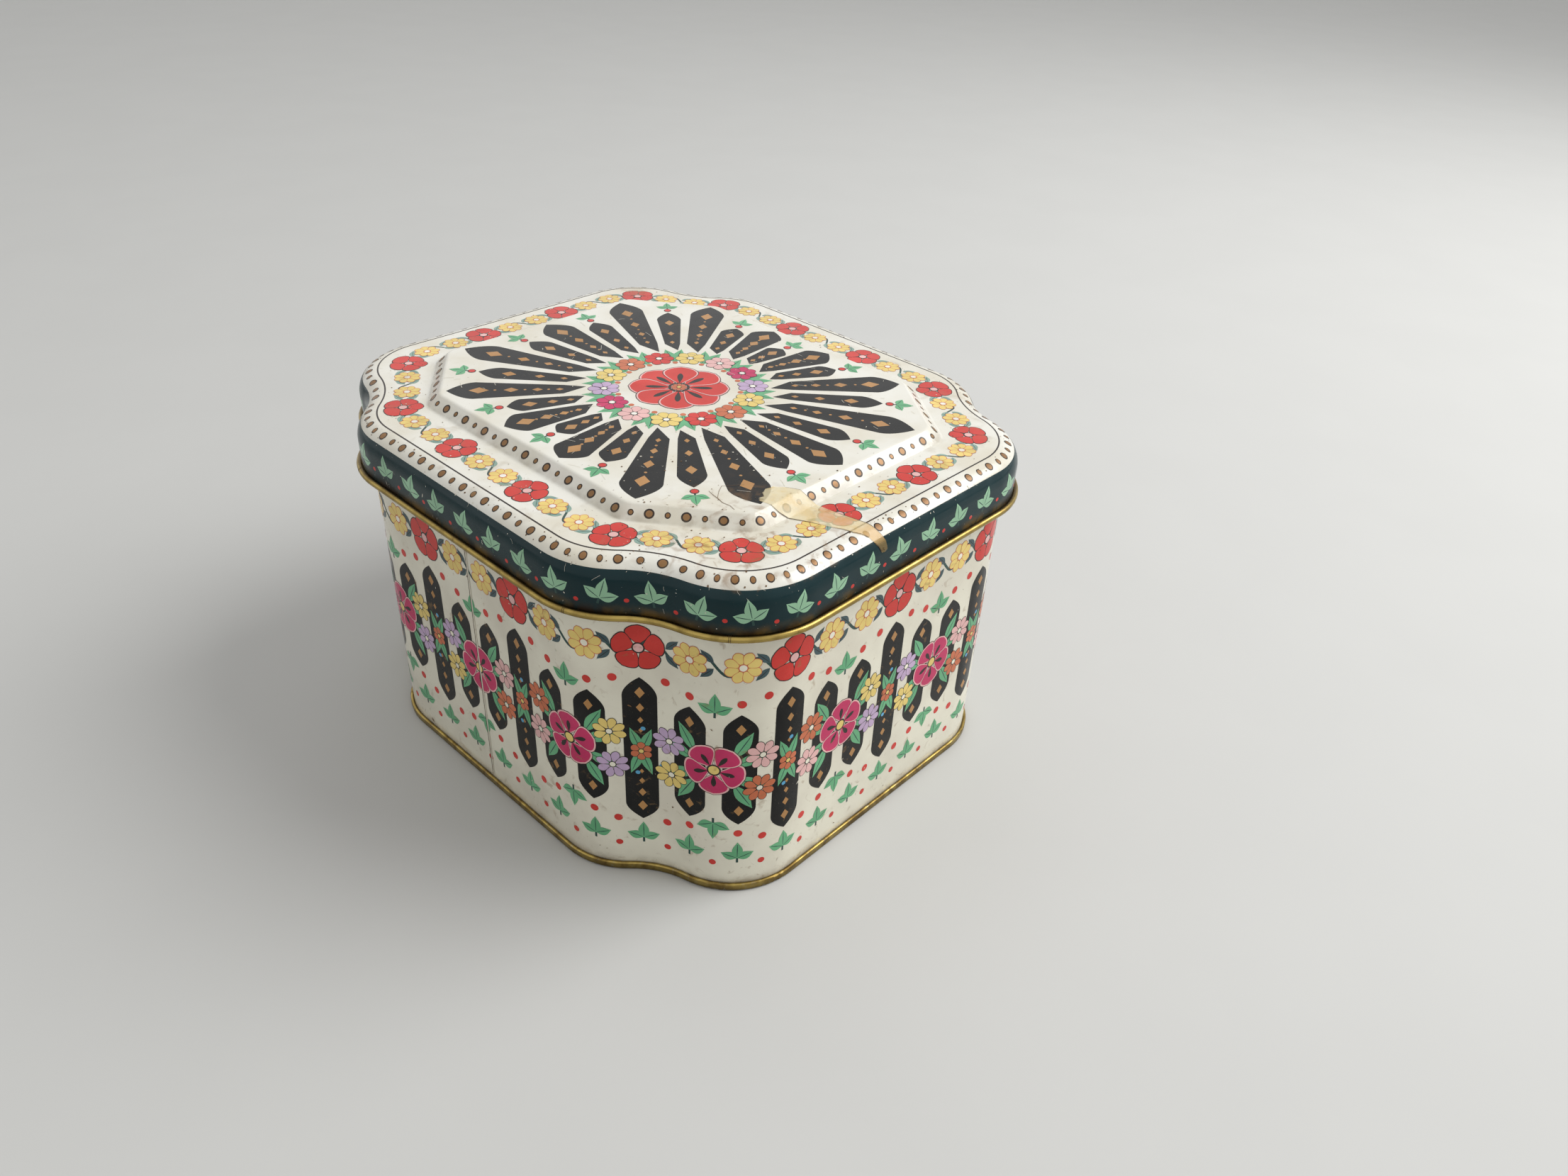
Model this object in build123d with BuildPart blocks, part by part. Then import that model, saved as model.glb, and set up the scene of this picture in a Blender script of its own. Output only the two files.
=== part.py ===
# Keepsake tin: a rectangular tinplate box whose corners are cut back by a shallow hollow,
# with a pull-off lid that has a raised eight-sided panel and a rolled bottom edge.
# Sizes are in millimetres. Z is up, the tin stands on Z = 0, X runs left to right and the
# front is towards -Y. Every wall follows one outline, at its own distance inside the skirt.

from build123d import *
import math
import os

os.makedirs("parts", exist_ok=True)

# Plan of the tin, over the lid's skirt
lid_width = 150.0
lid_length = 170.0
side_flat = 71.4
end_flat = 71.4
lobe_radius = 24.8
notch_radius = 25.6

# Sheet and fits
plate = 0.3
lid_fit = 0.6
lid_seat_gap = 0.3
seam_gap = 0.05

# Heights of the closed tin
tin_height = 101.4
lid_depth = 18.0

# Lid stamping: rounded shoulder, flat border and raised panel
shoulder_radius = 6.0
panel_rise = 3.2
panel_slope_run = 3.8
panel_width = 110.6
panel_length = 131.6
panel_side_flat = 79.8
panel_end_flat = 70.8
panel_corner_radius = 8.0
panel_bend_radius = 1.5

# Rolled edges of the lid and of the body
lid_curl_diameter = 1.8
body_curl_diameter = 2.2
curl_turn = 300.0

# Side seam of the body wall, in the middle of the left side
side_seam_width = 4.0
side_seam_end_gap = 0.5
groove_width = 0.5
groove_depth = 0.12

# Base and the double seam that holds it to the wall
seam_height = 2.4
base_recess = 3.0
seam_bend_radius = 0.3
foot_bend_radius = 0.5
hook_tip_gap = 0.5
panel_lap = 0.25

# Old strip of clear tape, from the raised panel over the front edge of the lid
tape_thickness = 0.1
tape_adhesive = 0.05
tape_back = (-23.6, -56.0)
tape_front = (-11.6, -87.0)
tape_back_width = 10.8
tape_front_width = 4.0
tape_tail = 5.5

# Places worked out from the sizes above
half_width = lid_width / 2
half_length = lid_length / 2
flange_height = tin_height - panel_rise
panel_slope = math.atan2(panel_rise, panel_slope_run)
lid_curl_radius = lid_curl_diameter / 2
lid_curl_height = tin_height - lid_depth + lid_curl_radius
body_curl_radius = body_curl_diameter / 2
wall_inset = lid_fit + body_curl_diameter

# The body's upper curl stops just under the inside of the lid's shoulder
seat_reach = shoulder_radius - plate - body_curl_radius - lid_seat_gap
seat_offset = shoulder_radius - (wall_inset + plate - body_curl_radius)
body_curl_height = flange_height - shoulder_radius + math.sqrt(seat_reach**2 - seat_offset**2)

# Centres of the two convex turns and of the hollow between them, at one corner
side_lobe = (half_width - lobe_radius, side_flat / 2)
end_lobe = (end_flat / 2, half_length - lobe_radius)
lobe_reach = lobe_radius + notch_radius
lobe_angle = math.atan2(end_lobe[1] - side_lobe[1], end_lobe[0] - side_lobe[0])
reach_angle = lobe_angle - math.acos(math.dist(side_lobe, end_lobe) / 2 / lobe_reach)
notch = (
    side_lobe[0] + lobe_reach * math.cos(reach_angle),
    side_lobe[1] + lobe_reach * math.sin(reach_angle),
)
side_turn = math.degrees(reach_angle)
end_turn = math.degrees(math.atan2(notch[1] - end_lobe[1], notch[0] - end_lobe[0]))


def plan_line(inset, height=0.0):
    """The tin's outline from above, at a distance inside the lid's skirt."""
    convex = lobe_radius - inset
    hollow = notch_radius + inset
    with BuildLine(Plane.XY.offset(height)) as outline:
        Line((half_width - inset, 0), (half_width - inset, side_flat / 2))
        CenterArc(side_lobe, convex, 0, side_turn)
        CenterArc(notch, hollow, 180 + side_turn, end_turn - side_turn)
        CenterArc(end_lobe, convex, end_turn, 90 - end_turn)
        Line((end_flat / 2, half_length - inset), (0, half_length - inset))
        mirror(about=Plane.YZ)
        mirror(about=Plane.XZ)
    return outline.line


def section_plane(inset, height=0.0):
    """The upright plane across that outline, in the middle of the right side, X outwards."""
    return Plane(origin=(half_width - inset, 0, height), x_dir=(1, 0, 0), z_dir=(0, -1, 0))


def panel_sketch(grow):
    """The foot of the raised panel: an octagon with rounded corners, moved out by grow."""
    side = panel_width / 2
    end = panel_length / 2
    corner = [(side, panel_side_flat / 2), (panel_end_flat / 2, end)]
    left = [(-x, y) for x, y in reversed(corner)]
    back = [(x, -y) for x, y in reversed(corner + left)]
    with BuildSketch() as panel:
        Polygon(*corner, *left, *back, align=None)
        fillet(panel.vertices(), panel_corner_radius)
        offset(amount=grow)
    return panel.sketch


def lid_form(grow):
    """The lid's outer surface as a solid block, with every face moved out by grow."""
    top = flange_height + grow
    with BuildPart() as form:
        with BuildSketch(Plane.XY.offset(lid_curl_height)):
            add(plan_line(-grow))
            make_face()
        extrude(amount=top - lid_curl_height)
        fillet(form.faces().sort_by(Axis.Z)[-1].edges(), shoulder_radius + grow)
        with BuildSketch(Plane.XY.offset(top)):
            add(panel_sketch(grow * math.tan(panel_slope / 2)))
        extrude(amount=panel_rise, taper=90 - math.degrees(panel_slope))
        foot_edges = form.edges(Select.LAST).group_by(Axis.Z)[0]
        fillet(foot_edges, panel_bend_radius - grow)
        fillet(form.faces().sort_by(Axis.Z)[-1].edges(), panel_bend_radius + grow)
    return form.part


lid_outside = lid_form(0)
lid_inside = lid_form(-plate)

# Lid: one stamping, with the foot of its skirt rolled outwards
with BuildPart() as lid:
    add(lid_outside)
    add(lid_inside, mode=Mode.SUBTRACT)
    with BuildLine():
        add(plan_line(0, lid_curl_height))
    with BuildSketch(section_plane(0, lid_curl_height)):
        with BuildLine():
            CenterArc((lid_curl_radius - plate, 0), lid_curl_radius - plate / 2, 180, curl_turn)
        trace(line_width=plate)
    sweep()
lid.part.label = "lid"
export_step(lid.part, "parts/lid.step")

# Middle lines of the five layers of the double seam, outwards from the wall's outer face
layer = plate + seam_gap
wall_line = -plate / 2
end_hook = wall_line + layer
body_hook = end_hook + layer
seam_line = body_hook + layer
chuck_line = wall_line - layer
foot_line = plate / 2
body_hook_foot = foot_line + layer
seam_top = seam_height - plate / 2
panel_line = base_recess - plate / 2
panel_edge = chuck_line - 2 * foot_bend_radius

# Body wall: one sheet, hooked outwards at the foot and rolled outwards at the top
with BuildPart() as body_wall:
    with BuildLine():
        add(plan_line(wall_inset))
    with BuildSketch(section_plane(wall_inset)):
        with BuildLine():
            FilletPolyline(
                (body_hook, seam_top - hook_tip_gap),
                (body_hook, body_hook_foot),
                (wall_line, body_hook_foot),
                (wall_line, body_curl_height),
                radius=[seam_bend_radius, seam_bend_radius],
            )
            CenterArc(
                (body_curl_radius - plate, body_curl_height),
                body_curl_radius - plate / 2,
                180,
                -curl_turn,
            )
        trace(line_width=plate)
    sweep()

    # Side seam: the folded edges lie inside, and only a shallow groove shows outside
    wall_outside = -half_width + wall_inset
    fold_foot = base_recess + side_seam_end_gap
    fold_top = body_curl_height - side_seam_end_gap
    with BuildSketch(Plane.XY.offset(fold_foot)):
        with Locations((wall_outside + plate, 0)):
            Rectangle(2 * plate, side_seam_width, align=(Align.MIN, Align.CENTER))
    extrude(amount=fold_top - fold_foot)
    with BuildSketch(Plane.XY.offset(seam_height)):
        with Locations((wall_outside, 0)):
            Rectangle(2 * groove_depth, groove_width)
    extrude(amount=body_curl_height - body_curl_radius - seam_height, mode=Mode.SUBTRACT)
body_wall.part.label = "body_wall"
export_step(body_wall.part, "parts/body_wall.step")

# Base: a dished sheet whose rim is folded round the wall's hook
with BuildPart() as base:
    with BuildSketch(Plane.XY.offset(base_recess - plate)):
        add(plan_line(wall_inset - panel_edge - panel_lap))
        make_face()
    extrude(amount=plate)
    with BuildLine():
        add(plan_line(wall_inset))
    with BuildSketch(section_plane(wall_inset)):
        with BuildLine():
            FilletPolyline(
                (end_hook, body_hook_foot + hook_tip_gap),
                (end_hook, seam_top),
                (seam_line, seam_top),
                (seam_line, foot_line),
                (chuck_line, foot_line),
                (chuck_line, panel_line),
                (panel_edge, panel_line),
                radius=[
                    seam_bend_radius,
                    seam_bend_radius,
                    foot_bend_radius,
                    foot_bend_radius,
                    seam_bend_radius,
                ],
            )
        trace(line_width=plate)
    sweep()
base.part.label = "base"
export_step(base.part, "parts/base.step")

# Tape: a tapered strip that follows the lid's surface, with its adhesive under it
tape_outside = lid_form(tape_adhesive + tape_thickness)
tape_inside = lid_form(tape_adhesive)
with BuildPart() as tape_strip:
    with BuildSketch(Plane.XY.offset(flange_height - tape_tail)):
        Polygon(
            (tape_back[0] - tape_back_width / 2, tape_back[1]),
            (tape_front[0] - tape_front_width / 2, tape_front[1]),
            (tape_front[0] + tape_front_width / 2, tape_front[1]),
            (tape_back[0] + tape_back_width / 2, tape_back[1]),
            align=None,
        )
    extrude(amount=tin_height)
    add(tape_outside, mode=Mode.INTERSECT)
    add(tape_inside, mode=Mode.SUBTRACT)
tape_strip.part.label = "tape_strip"
export_step(tape_strip.part, "parts/tape_strip.step")

for piece in (lid, body_wall, base, tape_strip):
    print(piece.part.label, round(piece.part.volume, 1), "mm3", piece.part.bounding_box())
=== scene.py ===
"""Dresses a keepsake tin: its printed and lacquered sheet, the ink of its print, its wear, an old
strip of tape, and a plain studio round it. Sizes in the code are millimetres unless they say otherwise."""

import math
import random

import bmesh
import bpy
import numpy as np
from bpy.props import FloatProperty, FloatVectorProperty, IntProperty, PointerProperty
from mathutils import Matrix, Vector


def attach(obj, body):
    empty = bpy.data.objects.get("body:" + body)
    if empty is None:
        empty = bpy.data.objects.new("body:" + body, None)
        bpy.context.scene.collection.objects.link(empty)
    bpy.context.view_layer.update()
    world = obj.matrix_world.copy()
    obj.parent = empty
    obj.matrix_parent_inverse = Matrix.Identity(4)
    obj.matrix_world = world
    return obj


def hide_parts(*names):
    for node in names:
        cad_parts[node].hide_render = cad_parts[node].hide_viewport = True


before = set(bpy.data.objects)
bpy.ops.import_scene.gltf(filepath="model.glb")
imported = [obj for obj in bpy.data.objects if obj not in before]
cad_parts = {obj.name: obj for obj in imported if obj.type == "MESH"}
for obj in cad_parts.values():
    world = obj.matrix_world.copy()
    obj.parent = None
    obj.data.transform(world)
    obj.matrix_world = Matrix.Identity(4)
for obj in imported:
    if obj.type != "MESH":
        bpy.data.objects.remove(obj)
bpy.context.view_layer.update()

bl_info = {
    "name": "Keepsake Tin",
    "version": (1, 0, 0),
    "blender": (4, 5, 0),
    "location": "View3D > Sidebar > Tin",
    "description": "Finishes, print, wear and studio for a tinplate keepsake tin",
    "category": "Object",
}

MM = 0.001

# The tin's plan over the lid's skirt, which is the outline that every wall follows
HALF_WIDTH, HALF_LENGTH = 75.0, 85.0
SIDE_FLAT = END_FLAT = 71.4
LOBE_RADIUS, NOTCH_RADIUS = 24.8, 25.6
WALL_INSET = 2.8

# The raised panel, measured over its foot
PANEL_SIDE, PANEL_END = 55.3, 65.8
PANEL_SIDE_FLAT, PANEL_END_FLAT = 79.8, 70.8
PANEL_CORNER = 8.0
PANEL_RISE, SLOPE_RUN = 3.2, 3.8
SLOPE_LENGTH = math.hypot(SLOPE_RUN, PANEL_RISE)

# Heights of the closed tin, from the base up to the panel
SEAM_TOP, FLOOR_TOP = 2.4, 3.0
LID_FOOT = 83.4
SHEET, LID_CURL_RADIUS = 0.3, 0.9
CURL_HEIGHT, CURL_TOP = LID_FOOT + LID_CURL_RADIUS, LID_FOOT + 2 * LID_CURL_RADIUS
SHOULDER_FOOT, SHOULDER_RADIUS = 92.2, 6.0
FLANGE_HEIGHT = SHOULDER_FOOT + SHOULDER_RADIUS
PANEL_HEIGHT = FLANGE_HEIGHT + PANEL_RISE

# Ink stands this far off the sheet, each colour laid over another this much further, and tape this far
INK_LIFT, INK_LAYER, TAPE_LIFT = 0.034, 0.008, 0.135

# An outline's points stand about this far apart
LINE_STEP = 0.25

# Lengths along the tape are counted from this far in front of the lid's middle
TAPE_START = 50.0

# Rays start this far from the panel's middle, and their largest lozenges have these half sizes
RAY_FOOT = 25.5
RAY_LOZENGE = 1.9, 2.7


def linear(hex_colour):
    """An sRGB hex colour as the linear colour that a shader takes."""
    parts = [int(hex_colour[i : i + 2], 16) / 255 for i in (1, 3, 5)]
    return tuple(c / 12.92 if c <= 0.04045 else ((c + 0.055) / 1.055) ** 2.4 for c in parts)


# Lines and strips that the print is laid along


def straight(start, end, facing):
    """Points from start up to end, each with the outward direction."""
    start, end = np.array(start, float), np.array(end, float)
    count = max(2, math.ceil(np.linalg.norm(end - start) / LINE_STEP))
    t = np.linspace(0, 1, count, endpoint=False)[:, None]
    return np.hstack([start + (end - start) * t, np.tile(facing, (count, 1))])


def turned(centre, radius, start, end, hollow=False):
    """Points round an arc from one angle up to another, each with the tin's outward direction."""
    count = max(2, math.ceil(abs(end - start) * radius / LINE_STEP))
    angle = np.linspace(start, end, count, endpoint=False)
    out = np.column_stack([np.cos(angle), np.sin(angle)])
    return np.hstack([np.array(centre) + radius * out, -out if hollow else out])


def mirrored_round(*runs):
    """The whole closed line from its runs between the X axis and the Y axis."""
    quarter = np.vstack(runs)
    half = np.vstack([quarter, quarter[-2::-1] * (-1, 1, -1, 1)])
    return np.vstack([half, half[1:] * -1])


def tin_outline():
    """The tin's outline over the skirt: flats, and corners of two lobes with a hollow between."""
    side = np.array((HALF_WIDTH - LOBE_RADIUS, SIDE_FLAT / 2))
    end = np.array((END_FLAT / 2, HALF_LENGTH - LOBE_RADIUS))
    reach = LOBE_RADIUS + NOTCH_RADIUS
    across = end - side
    turn = math.atan2(across[1], across[0]) - math.acos(np.linalg.norm(across) / 2 / reach)
    notch = side + reach * np.array((math.cos(turn), math.sin(turn)))
    last = math.atan2(notch[1] - end[1], notch[0] - end[0])
    return mirrored_round(
        straight((HALF_WIDTH, 0), (HALF_WIDTH, side[1]), (1, 0)),
        turned(side, LOBE_RADIUS, 0, turn),
        turned(notch, NOTCH_RADIUS, math.pi + turn, math.pi + last, hollow=True),
        turned(end, LOBE_RADIUS, last, math.pi / 2),
        straight((end[0], HALF_LENGTH), (0, HALF_LENGTH), (0, 1)),
        [(0, HALF_LENGTH, 0, 1)],
    )


def panel_outline():
    """The foot of the raised panel: an eight-sided line with rounded corners."""
    side = np.array((PANEL_SIDE, PANEL_SIDE_FLAT / 2))
    end = np.array((PANEL_END_FLAT / 2, PANEL_END))
    along = (end - side) / np.linalg.norm(end - side)
    facing = np.array((along[1], -along[0]))
    lean = math.atan2(facing[1], facing[0])
    low = PANEL_CORNER * math.tan(lean / 2)
    high = PANEL_CORNER * math.tan((math.pi / 2 - lean) / 2)
    return mirrored_round(
        straight((side[0], 0), (side[0], side[1] - low), (1, 0)),
        turned((side[0] - PANEL_CORNER, side[1] - low), PANEL_CORNER, 0, lean),
        straight(side + along * low, end - along * high, facing),
        turned((end[0] - high, end[1] - PANEL_CORNER), PANEL_CORNER, lean, math.pi / 2),
        straight((end[0] - high, end[1]), (0, end[1]), (0, 1)),
        [(0, end[1], 0, 1)],
    )


def border_outline():
    """The middle of the flat border between the lid's shoulder and the raised panel."""
    outer, inner = tin_outline(), panel_outline()
    rim = outer[:, :2] - outer[:, 2:] * SHOULDER_RADIUS
    gap = np.linalg.norm(rim[:, None] - inner[None, :, :2], axis=2)
    middle = (rim + inner[gap.argmin(1), :2]) / 2
    # The line is smoothed over this many points to each side
    spread = 24
    padded = np.vstack([middle[-spread:], middle, middle[:spread]])
    window = np.ones(2 * spread + 1) / (2 * spread + 1)
    middle = np.column_stack([np.convolve(padded[:, i], window, "valid") for i in (0, 1)])
    run = np.roll(middle, -1, 0) - np.roll(middle, 1, 0)
    run /= np.linalg.norm(run, axis=1)[:, None] + 1e-9
    return np.hstack([middle, np.column_stack([run[:, 1], -run[:, 0]])])


class Strip:
    """A closed band of the sheet. It maps a length along it and a height across it to the tin.
    Print cut on the band's cells stays flat within each cell, so colours over each other stay apart."""

    def __init__(self, line, section, inset=0.0):
        self.section, self.cell = section, None
        places = line[:, :2] - inset * line[:, 2:]
        steps = np.linalg.norm(np.diff(places, axis=0, append=places[:1]), axis=1)
        self.length = steps.sum()
        self.along = np.concatenate([[0], np.cumsum(steps)])
        self.line = np.vstack([line, line[:1]])

    def place(self, flat):
        """Places and outward directions of flat points, given as length along and height."""
        places, facing = self.on_sheet(flat)
        if self.cell:
            low = np.floor(flat / self.cell + 1e-6)
            share = flat / self.cell - low
            places = 0
            for step in ((0, 0), (1, 0), (0, 1), (1, 1)):
                part = np.prod(np.where(step, share, 1 - share), axis=1)[:, None]
                places = places + part * self.on_sheet((low + step) * self.cell)[0]
        return places, facing

    def on_sheet(self, flat):
        """The same without the cells, exactly on the bent sheet."""
        at = flat[:, 0] % self.length
        x, y, out_x, out_y = (np.interp(at, self.along, self.line[:, i]) for i in range(4))
        size = np.hypot(out_x, out_y)
        out_x, out_y = out_x / size, out_y / size
        inset, height, outward, upward = self.section(flat[:, 1])
        places = np.column_stack([x - out_x * inset, y - out_y * inset, height + 0 * x])
        return places, np.column_stack([out_x * outward, out_y * outward, upward + 0 * x])


def wall_section(height):
    """The upright wall of the body."""
    return WALL_INSET, height, 1.0, 0.0


def skirt_section(rise):
    """The lid's skirt, from the middle of its curl, and then the rounded shoulder above it."""
    angle = np.clip((rise - (SHOULDER_FOOT - CURL_HEIGHT)) / SHOULDER_RADIUS, 0, math.pi / 2)
    height = np.minimum(rise + CURL_HEIGHT, SHOULDER_FOOT) + SHOULDER_RADIUS * np.sin(angle)
    return SHOULDER_RADIUS * (1 - np.cos(angle)), height, np.cos(angle), np.sin(angle)


def slope_section(rise):
    """The slope of the raised panel, from halfway up it."""
    share = 0.5 + rise / SLOPE_LENGTH
    outward, upward = PANEL_RISE / SLOPE_LENGTH, SLOPE_RUN / SLOPE_LENGTH
    return SLOPE_RUN * share, FLANGE_HEIGHT + PANEL_RISE * share, outward, upward


def border_section(inwards):
    """The flat border of the lid, inwards from its middle."""
    return inwards, FLANGE_HEIGHT, 0.0, 1.0


def curl_section(degrees):
    """The lid's rolled edge, by the angle above level at which it is seen from outside."""
    angle = np.radians(degrees)
    outset = LID_CURL_RADIUS - SHEET + LID_CURL_RADIUS * np.cos(angle)
    return -outset, CURL_HEIGHT + LID_CURL_RADIUS * np.sin(angle), np.cos(angle), np.sin(angle)


def on_panel(flat):
    """The flat top of the raised panel."""
    places = np.column_stack([flat, np.full(len(flat), PANEL_HEIGHT)])
    return places, np.tile((0.0, 0.0, 1.0), (len(flat), 1))


def over_front(flat):
    """The way from the panel down over the lid's front edge, given as X and as minus the length of
    way from the tape's start. It lies on flat sides all along."""
    lengths = PANEL_END - SLOPE_RUN - TAPE_START, SLOPE_LENGTH, HALF_LENGTH - SHOULDER_RADIUS - PANEL_END
    slope_top, slope_foot, shoulder = np.cumsum(lengths)
    run = -flat[:, 1]
    angle = np.clip((run - shoulder) / SHOULDER_RADIUS, 0, math.pi / 2)
    past = np.maximum(run - shoulder - SHOULDER_RADIUS * math.pi / 2, 0)
    on_slope = np.clip((run - slope_top) / SLOPE_LENGTH, 0, 1)
    level = np.minimum(run, slope_top) + np.clip(run - slope_foot, 0, shoulder - slope_foot)
    y = -TAPE_START - level - on_slope * SLOPE_RUN - SHOULDER_RADIUS * np.sin(angle)
    height = PANEL_HEIGHT - on_slope * PANEL_RISE - SHOULDER_RADIUS * (1 - np.cos(angle)) - past
    lean = np.where((on_slope > 0) & (on_slope < 1), math.atan2(PANEL_RISE, SLOPE_RUN), angle)
    return np.column_stack([flat[:, 0], y, height]), np.column_stack([0 * lean, -np.sin(lean), np.cos(lean)])


def panel_reach(angle, margin):
    """How far the raised panel's flat top reaches from its middle in one direction."""
    x, y = abs(math.cos(angle)), abs(math.sin(angle))
    side, end = PANEL_SIDE_FLAT / 2, PANEL_END_FLAT / 2
    across = np.array((PANEL_END - side, PANEL_SIDE - end))
    across /= np.linalg.norm(across)
    cut = across @ (PANEL_SIDE, side)
    limits = ((PANEL_SIDE, x), (PANEL_END, y), (cut, across @ (x, y)))
    return min((limit - SLOPE_RUN - margin) / max(share, 1e-6) for limit, share in limits)


# Shapes that the printed motifs are drawn from


def ellipse(wide, high=None, at=(0, 0), points=20):
    """An ellipse of two half sizes."""
    angle = np.linspace(0, 2 * math.pi, points, endpoint=False)
    return np.column_stack([at[0] + wide * np.cos(angle), at[1] + (high or wide) * np.sin(angle)])


def spun(shape, degrees, at=(0, 0)):
    """A shape turned about the origin and then moved."""
    a = math.radians(degrees)
    turn = np.array([(math.cos(a), math.sin(a)), (-math.sin(a), math.cos(a))])
    return np.asarray(shape) @ turn + np.array(at)


def both_sides(along, half):
    """A closed shape along +Y from its half widths."""
    return np.vstack([np.column_stack([half, along]), np.column_stack([-half, along])[::-1][1:-1]])


def leaf(length, width):
    """A pointed leaf from the origin along +Y."""
    t = np.linspace(0, 1, 12)
    return both_sides(t * length, width / 2 * np.sin(math.pi * t**0.85) ** 1.15)


def petal(length, width, start=0.12):
    """A round-ended petal along +Y, narrow at the heart of its flower."""
    t = np.linspace(0, 1, 20)
    along = length * (start + t * (1 - start))
    return both_sides(along, width / 2 * np.sin(math.pi * t**1.6) ** 0.62)


def bar(length, low, high):
    """A level bar from X = 0, between two heights."""
    return np.array([(0, low), (length, low), (length, high), (0, high)])


def lozenges(marks, start, run, wide, high):
    """Copper lozenges in a row up a ray or an arch, each at its share of the run and in its own size."""
    shape = np.array([(wide, 0), (0, high), (-wide, 0), (0, -high)])
    return [("copper", 1, shape * size + (0, start + run * share)) for share, size in marks]


def ogive(width, height, tip):
    """An upright bar with a pointed arch at both ends, about the origin."""
    t = np.linspace(0, 1, 9)
    arch = np.column_stack([width / 2 * (1 - t**1.9), height / 2 - tip + tip * t])
    upper = np.vstack([arch, arch[::-1][1:] * (-1, 1)])
    return np.vstack([upper, -upper])


def ray(start, end, narrow, wide, swell=0.8):
    """A lance-shaped ray along +Y, widest towards its pointed outer end."""
    t = np.concatenate([np.linspace(0, swell, 6), swell + (1 - swell) * np.linspace(0, 1, 10)[1:]])
    grow = np.clip(t / swell, 0, 1)
    fall = np.clip((t - swell) / (1 - swell), 0, 1)
    half = (narrow + (wide - narrow) * grow) / 2 * (1 - fall**1.8)
    half[0] *= 0.7
    return both_sides(start + t * (end - start), half)


def stroke(points, width, taper=0.0):
    """A pen line through points, thinner at its ends by the taper."""
    points = np.asarray(points, float)
    run = np.gradient(points, axis=0)
    run /= np.linalg.norm(run, axis=1)[:, None]
    t = np.linspace(-1, 1, len(points))
    half = (width / 2 * (1 - taper * t**2))[:, None] * np.column_stack([-run[:, 1], run[:, 0]])
    return np.vstack([points + half, (points - half)[::-1]])


# A motif is a list of (ink, layer, closed shape)


def moved(motif, degrees=0.0, at=(0, 0), layer=0.0):
    """A motif turned and placed within a bigger one."""
    return [(ink, lift + layer, spun(shape, degrees, at)) for ink, lift, shape in motif]


def flower(petals, radius, width, inks, eye, eye_size, inner=None):
    """A simple blossom seen from above, each petal over the last. A petal's inks are given with
    how far each stays inside the petal's edge."""
    shapes = []
    petal_step, ink_step = 0.8, 0.2
    for k in range(petals):
        spin, lift = 360 * k / petals, petal_step * k
        for step, (ink, inside) in enumerate(inks):
            one = petal(radius - 2 * inside, width - 2.2 * inside) + (0, inside)
            shapes.append((ink, lift + ink_step * step, spun(one, spin)))
        if inner:
            mark = petal(radius * 0.66, width * 0.16, 0.3)
            shapes.append((inner, lift + ink_step * len(inks), spun(mark, spin)))
    top = petal_step * petals
    shapes.append((inks[0][0], top, ellipse(eye_size)))
    shapes.append((eye, top + 0.4, ellipse(eye_size * 0.76)))
    return shapes


def veined_leaf(length, width, ink, vein):
    """A leaf with its midrib."""
    rib = stroke([(0, length * 0.08), (0, length * 0.5), (0, length * 0.85)], width * 0.09, 0.5)
    return [(ink, 0, leaf(length, width)), (vein, 0.7, rib)]


def trefoil_sprig(size, ink, vein):
    """Three leaves that fan from a short stalk."""
    shapes = [(vein, 0, stroke([(0, -0.34 * size), (0, -0.1 * size), (0, 0.1 * size)], 0.07 * size))]
    for k, (degrees, reach) in enumerate(((66, 0.56), (-66, 0.56), (0, 0.68))):
        one = veined_leaf(reach * size, 0.34 * size, ink, vein)
        shapes += moved(one, degrees, (0, -0.14 * size), 0.4 + k)
    return shapes


def vine(run, swing, width, leaf_pair, reach, lean, apart):
    """A stem in three waves along a run, in short lengths, with a pair of leaves at each rise."""
    joints = 55
    x = np.linspace(-run / 2, run / 2, joints)
    line = stroke(np.column_stack([x, swing * np.sin(x * 6 * math.pi / run)]), width)
    left, right = line[:joints], line[joints:][::-1]
    shapes = [("vine", 0, np.vstack([left[k : k + 2], right[k : k + 2][::-1]])) for k in range(joints - 1)]
    for share, way in ((-reach, -1), (reach, 1), (0.49, -1)):
        for up in (-1, 1):
            shapes += moved(leaf_pair, way * (lean * up - 90), (share * run, up * apart), 0.4 + 0.15 * up)
    return shapes


def three_blossoms(run, stem, red, yellow, turns):
    """A red blossom on a stem, between two yellow ones that are turned."""
    shapes = stem + moved(red, layer=1.5)
    for side, turn in zip((-1, 1), turns):
        shapes += moved(yellow, turn, (side * run / 3, 0), 1.5)
    return shapes


def bead(wide, high, core):
    """A bronze bead in a dark ring, its core the given share of its width."""
    return [("outline", 0, ellipse(wide, high)), ("bronze", 1, ellipse(wide * core, high * core))]


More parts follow.
